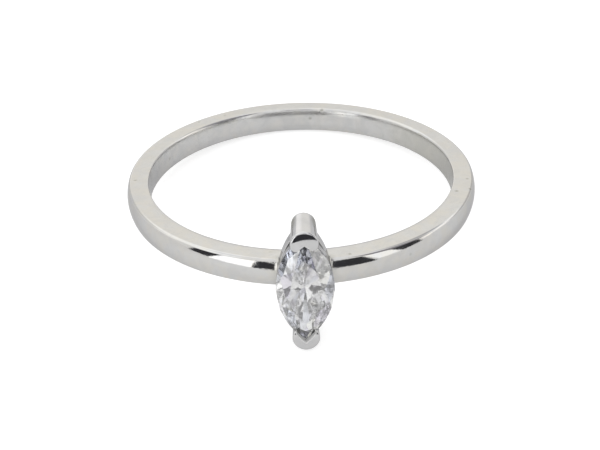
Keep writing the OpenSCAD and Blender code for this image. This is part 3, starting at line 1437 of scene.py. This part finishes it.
@dataclass
class RingMetal:
    """The soldered piece: band and head in one, with its finishes.

    Attributes:
        band: the hoop.
        head: the setting.
        pose: how the ring lies.
        hollow_shade_depth: depth inside the head's outer face at which the painted shade in its hollows is
            full.
        joint_reach: distance from the solder joints over which they mark the metal.
        right_filing: strength of the file's marks right of the head, against the left's.
        cut_reach: half of the distance from a claw's notch over which its cut shows.
        flank_l: length of the painted shade on the flanks of the posts' feet.
        flank_from: where on a foot the grey starts, as a share of its half width.
        flank_fade: share of the half width over which the grey comes in.
        crisp: angle between a face and the true surface past which an edge stays crisp.
    """

    band: Band
    head: ClawHead
    pose: RestPose
    hollow_shade_depth: float = 0.22
    joint_reach: float = 1.2
    right_filing: float = 0.2
    cut_reach: float = 0.03
    flank_l: float = 1.7
    flank_from: float = 0.5
    flank_fade: float = 0.3
    crisp: float = math.radians(40)

    def finishes(self) -> dict[MetalPart, GoldFinish]:
        """Chooses the finish of each part.

        Returns:
            The finishes, in the order of the mesh's materials.
        """
        return {
            MetalPart.OUTSIDE: GoldFinish("white_gold_polished"),
            MetalPart.INSIDE: GoldFinish("white_gold_worn_inside", roughness=0.19, cloud_blur=0.08,
                                         line_h=0.0008, tint=0.5, smoke=0.55, right_shade=0.6),
            MetalPart.HEAD: GoldFinish("white_gold_head", colour=(0.618, 0.619, 0.63), filed_h=0.0,
                                       tint=0.2, smoke=0.5),
        }

    def build(self, polish_and_shade: EffectGroup, shade_and_grime: EffectGroup) -> bpy.types.Object:
        """Builds and dresses the piece.

        Args:
            polish_and_shade: the effect of polishing, wear and painted shade.
            shade_and_grime: the effect of painted shade in the hollows and dulled joints.

        Returns:
            The piece, in the row frame.
        """
        ring = new_object("white_gold_ring", self.band.mesh())
        join(ring, self.head.relief(), Joint.CUT_OUT)
        join(ring, new_object("head", self.head.mesh()), Joint.SOLDERED)
        mesh = ring.data
        points = read_values(mesh.vertices, "co", 3).astype(float)
        self.mark(mesh, points)
        self.true_normals(mesh, points)
        mesh.transform(self.pose.head_to_row)
        mesh.materials.clear()
        for finish in self.finishes().values():
            mesh.materials.append(finish.material(polish_and_shade, shade_and_grime))
        self.split(mesh, points)
        return ring

    def mark(self, mesh: bpy.types.Mesh, points: np.ndarray) -> None:
        """Marks the head's hollows and cuts, and the metal beside the joints, for the materials.

        Args:
            mesh: the piece's mesh.
            points: its corners in the head frame.
        """
        head, stone = self.head, self.head.stone
        x, y, z = points.T
        outline = Marquise(stone.outline.half_l, head.lower_rail_w / 2)
        to_head = head.distance(points)
        in_head = (to_head < head.band_solder) | (z > self.band.crown_r)
        # Painted shade, partly dirt: darker deeper inside the rails, where the head's hollows lie in
        # shade.
        depth = np.clip(-outline.distance(x, y) / self.hollow_shade_depth, 0, 1)
        hollow_shade = depth * (in_head & (z < stone.girdle_top) & (z > 0))
        apart = np.maximum(to_head, self.band.distance(points))
        joint = np.clip(1 - apart / self.joint_reach, 0, 1)
        marks = {
            "hollow_shade": np.maximum(hollow_shade, self.flank_shade(points)),
            "joint": joint,
            "filed": joint * np.where(x < 0, 1, self.right_filing),
            "cut": np.clip(2 - np.abs(head.notch(points)) / self.cut_reach, 0, 1) * (z > stone.girdle_low),
        }
        for name, values in marks.items():
            layer = mesh.attributes.new(name, "FLOAT", "POINT")
            layer.data.foreach_set("value", values.astype(np.float32))

    def flank_shade(self, points: np.ndarray) -> np.ndarray:
        """Painted shade on the flanks of the posts' feet: grey that stands in for the darker reflections
        there.

        Args:
            points: places in the head frame.

        Returns:
            The greyness, 0 away from the flanks.
        """
        head = self.head
        along = np.abs(points[:, 1]) - head.post_y
        height = (points[:, 2] - head.foot_z + head.foot_drop) / self.flank_l
        aside = np.abs(points[:, 0]) / (head.post_foot_w / 2)
        # The painted shade is full up to the middle of the flank and fades above it.
        spread = np.clip((aside - self.flank_from) / self.flank_fade, 0, 1) * np.clip(2 - 2 * height, 0, 1)
        return spread * (along > -head.post_flat / 2) * (head.posts(points) < head.solder)

    def split(self, mesh: bpy.types.Mesh, points: np.ndarray) -> None:
        """Gives each face the finish of the part that it is on.

        Args:
            mesh: the piece's mesh.
            points: its corners in the head frame.
        """
        band = self.band
        inner = np.hypot(points[:, 0], points[:, 2]) < band.rolled_r
        inner &= np.abs(points[:, 1]) < band.half_w - band.inner_edge_r / 2
        part = np.where(inner, MetalPart.INSIDE.value, MetalPart.OUTSIDE.value)
        part[self.head.distance(points) < self.head.sink / 2] = MetalPart.HEAD.value
        corners = read_values(mesh.loops, "vertex_index", kind=np.int32)
        starts = read_values(mesh.polygons, "loop_start", kind=np.int32)
        faces = np.minimum.reduceat(part[corners], starts)
        mesh.polygons.foreach_set("material_index", faces.astype(np.int32))

    def true_normals(self, mesh: bpy.types.Mesh, points: np.ndarray) -> None:
        """Gives each corner the true surface's normal, except where a face turns sharply.

        Args:
            mesh: the piece's mesh.
            points: its corners in the head frame.
        """
        slope = self.head.net().gradient(self.head.soldered, points)
        slope /= np.maximum(np.linalg.norm(slope, axis=1), TINY)[:, None]
        smooth = slope[read_values(mesh.loops, "vertex_index", kind=np.int32)]
        sizes = read_values(mesh.polygons, "loop_total", kind=np.int32)
        flat = np.repeat(read_values(mesh.polygons, "normal", 3), sizes, axis=0)
        close = (smooth * flat).sum(1) > math.cos(self.crisp)
        mesh.polygons.foreach_set("use_smooth", np.ones(len(mesh.polygons), bool))
        mesh.normals_split_custom_set(np.where(close[:, None], smooth, flat).tolist())


@dataclass
class Gem:
    """The stone with its finishes.

    Attributes:
        stone: the cut.
        pose: how the ring lies.
        seed: seed of the painted fire tints.
        ground: blur of the girdle's ground surface.
        fire_tints: tints painted on the facets for the coloured light that they throw.
    """

    stone: CutStone
    pose: RestPose
    seed: int = 11
    ground: float = 0.28
    fire_tints: tuple[Colour, ...] = (
        (0.58, 0.66, 0.90), (0.70, 0.62, 0.90), (0.86, 0.84, 0.70), (0.80, 0.80, 0.80), (0.76, 0.78, 0.80))

    def build(self, polish_and_shade: EffectGroup) -> bpy.types.Object:
        """Builds and dresses the stone.

        Args:
            polish_and_shade: the effect of polishing, wear and painted shade.

        Returns:
            The piece, in the row frame.
        """
        gem = new_object("marquise_stone", self.stone.mesh())
        mesh = gem.data
        facets = DiamondFinish("polished_diamond")
        ground = DiamondFinish("ground_diamond", roughness=self.ground)
        draw = np.random.default_rng(self.seed)
        # Painted fire: each facet gets a tint that stands in for dispersed coloured light.
        picked = draw.integers(0, len(self.fire_tints), len(mesh.polygons))
        fire_tints = np.array(self.fire_tints)[picked]
        table = max(mesh.polygons, key=lambda face: face.center.z).index
        fire_tints[table] = facets.clear
        values = np.concatenate([fire_tints, np.ones((len(fire_tints), 1))], 1).astype(np.float32)
        mesh.attributes.new("fire_tint", "FLOAT_COLOR", "FACE").data.foreach_set("color", values.ravel())
        mesh.transform(self.pose.head_to_row)
        for finish in (facets, ground):
            mesh.materials.append(finish.material(polish_and_shade))
        return gem


@dataclass(frozen=True)
class SkyWindow:
    """Part of the light tent with its own light.

    Attributes:
        azimuth: its middle, in degrees from the front, positive to the right.
        width: its width in degrees.
        elevation: its middle's height in degrees.
        height: its height in degrees.
        light: its colour and strength.
        blur: width of its soft edge in degrees.
    """

    azimuth: float
    width: float
    elevation: float
    height: float
    light: Colour
    blur: float

    def mask(self, sheet: NodeSheet, azimuth: Socket, elevation: Socket) -> Socket:
        """Works out where the window is.

        Args:
            sheet: the tent's nodes.
            azimuth: the azimuth that is looked at.
            elevation: the elevation that is looked at.

        Returns:
            A mask that is 1 in the window and 0 outside it.
        """
        masks = []
        for value, middle, size in (
            (azimuth, self.azimuth, self.width),
            (elevation, self.elevation, self.height),
        ):
            off = sheet.math("ABSOLUTE", sheet.math("SUBTRACT", value, float(middle)))
            masks.append(sheet.smooth(off, (size + self.blur) / 2, (size - self.blur) / 2))
        return sheet.times(*masks)


@dataclass(frozen=True)
class Card:
    """Card that stands in front of the ring and shows only in the metal and the stone.

    Attributes:
        name: the card's name.
        foot: the azimuths of its two lower corners, in degrees from the front.
        head: the azimuths of its two upper corners.
        distance: distances of its left and right sides from the ring's middle, in millimetres.
        rise: height of its upper edge in degrees, seen from the eye.
        light: its colour and strength.
        soft: share of its width that fades out at each side.
        eye: distance from the ring's middle and height of a place on the band, in millimetres.
        steps: faces along it.
    """

    name: str
    foot: tuple[float, float]
    head: tuple[float, float]
    distance: tuple[float, float]
    rise: float
    light: Colour
    soft: float
    eye: tuple[float, float] = (10.0, 3.6)
    steps: int = 12

    def build(self) -> bpy.types.Object:
        """Builds the card.

        Returns:
            The card, as part of the stage.
        """
        points, spans = [], []
        for level, ends in enumerate((self.foot, self.head)):
            for share in np.arange(self.steps + 1) / self.steps:
                turn = math.radians(ends[0] + share * (ends[1] - ends[0]))
                away = self.distance[0] + share * (self.distance[1] - self.distance[0])
                top = self.eye[1] + (away - self.eye[0]) * math.tan(math.radians(self.rise))
                points.append((away * MM * math.sin(turn), -away * MM * math.cos(turn), level * top * MM))
                spans.append((share, level))
        quads = [(k, k + 1, k + self.steps + 2, k + self.steps + 1) for k in range(self.steps)]
        card = new_object(self.name, grid_mesh(self.name, np.array(points), np.array(quads)))
        layer = card.data.uv_layers.new(name="card")
        for loop in card.data.loops:
            layer.data[loop.index].uv = spans[loop.vertex_index]
        card.data.materials.append(self.material())
        card.visible_camera = False
        card.visible_diffuse = False
        card.visible_shadow = False
        return card

    def material(self) -> bpy.types.Material:
        """Makes the card glow, or stay dark, with sides and a top that fade out.

        Returns:
            The material.
        """
        made, sheet = new_material(self.name)
        part = sheet.parts(sheet.add("ShaderNodeUVMap").outputs[0])
        off = sheet.math("ABSOLUTE", sheet.math("SUBTRACT", part["X"], 0.5))
        sides = sheet.smooth(off, 0.5, 0.5 - self.soft)
        top = sheet.smooth(part["Y"], 1.0, 1.0 - 2 * self.soft)
        clear = sheet.add("ShaderNodeBsdfTransparent").outputs[0]
        glow = sheet.add("ShaderNodeEmission", {"Color": self.light, "Strength": 1.0}).outputs[0]
        both = sheet.add("ShaderNodeMixShader", {0: sheet.times(sides, top), 1: clear, 2: glow})
        sheet.add("ShaderNodeOutputMaterial", {"Surface": both.outputs[0]})
        return made


@dataclass(frozen=True)
class PhotoCamera:
    """Camera of the photograph, as fitted to the band's outline in the ring frame.

    Attributes:
        distance: distance from the ring's middle, in millimetres.
        focal: focal length in pixels.
        elevation: height above the plane of the band, in degrees.
        azimuth: turn round the finger's axis, in degrees.
        roll: roll of the picture, in degrees.
        right: pixels by which the ring's middle lies right of the picture's middle.
        above: pixels by which it lies above it.
        picture_w: width of the picture in pixels.
        sensor_w: width of the camera's sensor, in millimetres.
        reach: nearest and farthest distance that the camera sees, in metres.
    """

    distance: float = 60.854
    focal: float = 1065.39
    elevation: float = 27.713
    azimuth: float = -0.45
    roll: float = 1.361
    right: float = 1.864
    above: float = 42.991
    picture_w: int = 600
    sensor_w: float = 36.0
    reach: tuple[float, float] = (0.001, 10.0)

    def build(self, pose: RestPose) -> bpy.types.Object:
        """Builds the camera and makes it the scene's.

        Args:
            pose: how the ring lies.

        Returns:
            The camera.
        """
        elevation, roll = math.radians(self.elevation), math.radians(self.roll)
        turn = Matrix.Rotation(math.radians(self.azimuth), 3, "Z")
        back = Vector((0, -math.cos(elevation), math.sin(elevation)))
        right, ahead = Vector((1, 0, 0)), -back
        up = right.cross(ahead)
        for side, pixels in ((up, self.above), (right, self.right)):
            tilt = math.atan(pixels / self.focal)
            aim = ahead.copy()
            ahead = aim * math.cos(tilt) - side * math.sin(tilt)
            turned = side * math.cos(tilt) + aim * math.sin(tilt)
            up, right = (turned, right) if side is up else (up, turned)
        axes = Matrix((right * math.cos(roll) - up * math.sin(roll),
                       right * math.sin(roll) + up * math.cos(roll), -ahead)).transposed()
        data = bpy.data.cameras.new("photo_camera")
        data.sensor_width = self.sensor_w
        data.lens = self.sensor_w * self.focal / self.picture_w
        data.clip_start, data.clip_end = self.reach
        camera = new_object("photo_camera", data)
        place = pose.ring_to_row @ (turn @ (back * self.distance))
        aim = pose.ring_to_row.to_3x3().normalized() @ turn @ axes
        camera.matrix_world = Matrix.Translation(place) @ aim.to_4x4()
        bpy.context.scene.camera = camera
        return camera


@dataclass(frozen=True)
class Studio:
    """Pale floor, light tent, cards and camera.

    Attributes:
        floor_r: radius of the floor in metres.
        floor_sides: corners round the floor.
        bounces: times that light may pass a surface.
        mirror_bounces: times that light may be mirrored, also inside the stone.
        low_light: colour and strength of the tent's light near the floor.
        high_light: colour and strength of its light overhead.
        rise: degrees of elevation between which the one turns into the other.
        paper: colour of the floor's paper.
        paper_fibre: colour of its fibres.
        fibre_scale: how fine the fibres are.
        fibre_share: how much they show.
        paper_blur: roughness of the paper.
        paper_gloss: gloss of the paper.
        floor_glow: light that the floor gives off.
        floor_glow_seen: light of the floor where the camera looks straight at it.
        pool_glow: light of the brighter pool on the floor in front of the ring.
        pool_place: middle of the pool in metres.
        pool_r: radius of the pool in metres.
        camera: the camera.
    """

    floor_r: float = 2.0
    floor_sides: int = 96
    bounces: int = 32
    mirror_bounces: int = 16
    low_light: Colour = (1.0, 1.0, 1.0)
    high_light: Colour = (1.12, 1.12, 1.13)
    rise: tuple[float, float] = (15, 65)
    paper: Colour = (0.55, 0.55, 0.55)
    paper_fibre: Colour = (0.4, 0.4, 0.38)
    fibre_scale: float = 900.0
    fibre_share: float = 0.1
    paper_blur: float = 0.9
    paper_gloss: float = 0.1
    floor_glow: Colour = (0.355, 0.355, 0.355)
    floor_glow_seen: Colour = (0.66, 0.66, 0.66)
    pool_glow: Colour = (0.43, 0.43, 0.425)
    pool_place: tuple[float, float, float] = (-0.012, -0.02, 0.0)
    pool_r: float = 0.028
    camera: PhotoCamera = PhotoCamera()

    def windows(self) -> tuple[SkyWindow, ...]:
        """Lays out the windows of the light tent.

        Returns:
            The windows, each laid over the ones before it. The first two are halves of the one
            behind the ring, where the azimuth jumps from 180 to -180.
        """
        return (
            SkyWindow(180, 90, 24, 44, (1.14, 1.12, 1.07), 20),
            SkyWindow(-180, 90, 24, 44, (1.14, 1.12, 1.07), 20),
            SkyWindow(-120, 140, 42, 26, (1.4, 1.4, 1.38), 14),
            SkyWindow(-162, 24, 2, 26, (1.4, 1.38, 1.34), 8),
            SkyWindow(-130, 44, 8, 32, (0.88, 0.88, 0.87), 10),
            SkyWindow(-110, 20, 6, 24, (1.0, 1.0, 0.98), 8),
            SkyWindow(-97, 20, 16, 18, (1.3, 1.3, 1.28), 8),
            SkyWindow(-46, 26, 21.4, 1.6, (0.12, 0.12, 0.12), 0.8),
            SkyWindow(64, 48, 34, 48, (0.37, 0.36, 0.39), 12),
            SkyWindow(125, 62, 48, 22, (0.64, 0.64, 0.65), 10),
            SkyWindow(130, 50, 8, 30, (0.74, 0.73, 0.72), 10),
            SkyWindow(90, 26, 6, 20, (1.5, 1.46, 1.4), 8),
            SkyWindow(108, 26, 23, 14, (1.5, 1.48, 1.44), 8),
            SkyWindow(134, 26, 31, 9, (1.45, 1.44, 1.4), 6),
            SkyWindow(152, 18, 30, 8, (1.12, 1.12, 1.1), 6),
            SkyWindow(0, 26, 39, 20, (0.5, 0.5, 0.52), 10),
        )

    def cards(self) -> tuple[Card, ...]:
        """Lays out the dark and the white cards in front of the ring.

        Returns:
            The cards.
        """
        dark, white, pale = (0.045, 0.045, 0.05), (1.8, 1.8, 1.8), (1.4, 1.4, 1.4)
        return (
            Card("dark_card_front", (-28, 39.9), (-27, 32.2), (36, 34), 20.0, dark, 0.02),
            Card("white_card_left", (-55, -26), (-46, -25), (60, 37), 19, white, 0.02),
            Card("white_card_right", (42.6, 64), (33.6, 52), (64, 92), 19, pale, 0.02),
            Card("dark_card_left", (-70, -52), (-65, -42), (80, 80), 17, dark, 0.08),
            Card("dark_card_right", (57.5, 73.2), (47.3, 69.6), (80, 80), 20.5, dark, 0.08),
        )

    def floor(self) -> bpy.types.Object:
        """Lays pale paper lit from below, which the camera sees a little brighter.

        Returns:
            The floor, as part of the stage.
        """
        form = bmesh.new()
        bmesh.ops.create_circle(form, cap_ends=True, segments=self.floor_sides, radius=self.floor_r)
        floor = new_object("floor", mesh_of("floor", form))
        made, sheet = new_material("pale_paper")
        where = sheet.add("ShaderNodeTexCoord").outputs["Object"]
        fibre = sheet.noise(where, self.fibre_scale, detail=3.0, roughness=0.5)
        seen = sheet.add("ShaderNodeLightPath").outputs["Is Camera Ray"]
        apart = sheet.add("ShaderNodeVectorMath", {0: where, 1: self.pool_place}, operation="DISTANCE")
        pool = sheet.smooth(apart.outputs["Value"], self.pool_r, 0.0)
        glow = sheet.mix(seen, sheet.mix(pool, self.floor_glow, self.pool_glow), self.floor_glow_seen)
        sheet.surface({
            "Base Color": sheet.mix(sheet.times(fibre, self.fibre_share), self.paper, self.paper_fibre),
            "Roughness": self.paper_blur, "Specular IOR Level": self.paper_gloss,
            "Emission Color": glow, "Emission Strength": 1.0})
        floor.data.materials.append(made)
        return floor

    def tent(self) -> None:
        """Builds the light tent."""
        world = bpy.data.worlds.new("light_tent")
        bpy.context.scene.world = world
        world.use_nodes = True
        sheet = NodeSheet(world.node_tree)
        part = sheet.parts(sheet.add("ShaderNodeTexCoord").outputs["Generated"])
        elevation = sheet.math("DEGREES", sheet.math("ARCSINE", part["Z"]))
        front = sheet.times(part["Y"], -1.0)
        azimuth = sheet.math("DEGREES", sheet.math("ARCTAN2", part["X"], front))
        light = sheet.mix(sheet.smooth(elevation, *self.rise), self.low_light, self.high_light)
        for window in self.windows():
            light = sheet.mix(window.mask(sheet, azimuth, elevation), light, window.light)
        tent = sheet.add("ShaderNodeBackground", {"Color": light, "Strength": 1.0})
        sheet.add("ShaderNodeOutputWorld", {"Surface": tent.outputs[0]})

    def build(self, pose: RestPose) -> None:
        """Sets the whole stage round the resting ring.

        Args:
            pose: how the ring lies.
        """
        self.camera.build(pose)
        self.floor()
        self.tent()
        for card in self.cards():
            card.build()
        scene = bpy.context.scene
        scene.view_settings.view_transform = "Standard"
        scene.cycles.max_bounces = self.bounces
        scene.cycles.transmission_bounces = self.bounces
        scene.cycles.glossy_bounces = self.mirror_bounces


def hand_over(piece: bpy.types.Object, node: str) -> None:
    """Ties a piece to the frame in place of its CAD node, and reports it.

    Args:
        piece: the piece.
        node: name of the CAD node that it stands for.
    """
    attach(piece, "root")
    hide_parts(node)
    LOG.info("%s replaces %s: %d faces", piece.name, node, len(piece.data.polygons))


def measured_head(frame: dict, pose: RestPose) -> ClawHead:
    """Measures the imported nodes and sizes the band, the stone and the head by them.

    Args:
        frame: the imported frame.
        pose: how the ring lies.

    Returns:
        The head, with the band and the stone that it joins.
    """
    metal = node_points(frame["nodes"][METAL_NODE], pose.head_to_row)
    stone = node_points(frame["nodes"][STONE_NODE], pose.head_to_row)
    out = np.hypot(metal[:, 0], metal[:, 2])
    behind = metal[:, 2] < 0
    crown_r = min(float(out[behind].max()), float(np.abs(metal[:, 0]).max()))
    band = Band(pose.inside_r, crown_r, float(np.abs(metal[behind, 1]).max()))
    outline = Marquise(float(stone[:, 1].max()), float(stone[:, 0].max()))
    cut = CutStone(outline, float(stone[:, 2].max()), float(stone[:, 2].min()))
    beside = np.abs(metal[:, 1]) > outline.half_l / 2
    return ClawHead(band, cut, float(metal[:, 2].max()), float(metal[beside, 2].min()))


def main() -> None:
    """Builds the ring and its stage."""
    logging.basicConfig(level=logging.INFO, format="%(message)s")
    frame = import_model()
    pose = RestPose.from_record(frame["record"])
    head = measured_head(frame, pose)
    effects = WearAndShadeEffects(pose)
    polish_and_shade, shade_and_grime = effects.polish_and_shade(), effects.shade_and_grime()
    hand_over(RingMetal(head.band, head, pose).build(polish_and_shade, shade_and_grime), METAL_NODE)
    hand_over(Gem(head.stone, pose).build(polish_and_shade), STONE_NODE)
    Studio().build(pose)


if __name__ == "__main__":
    main()
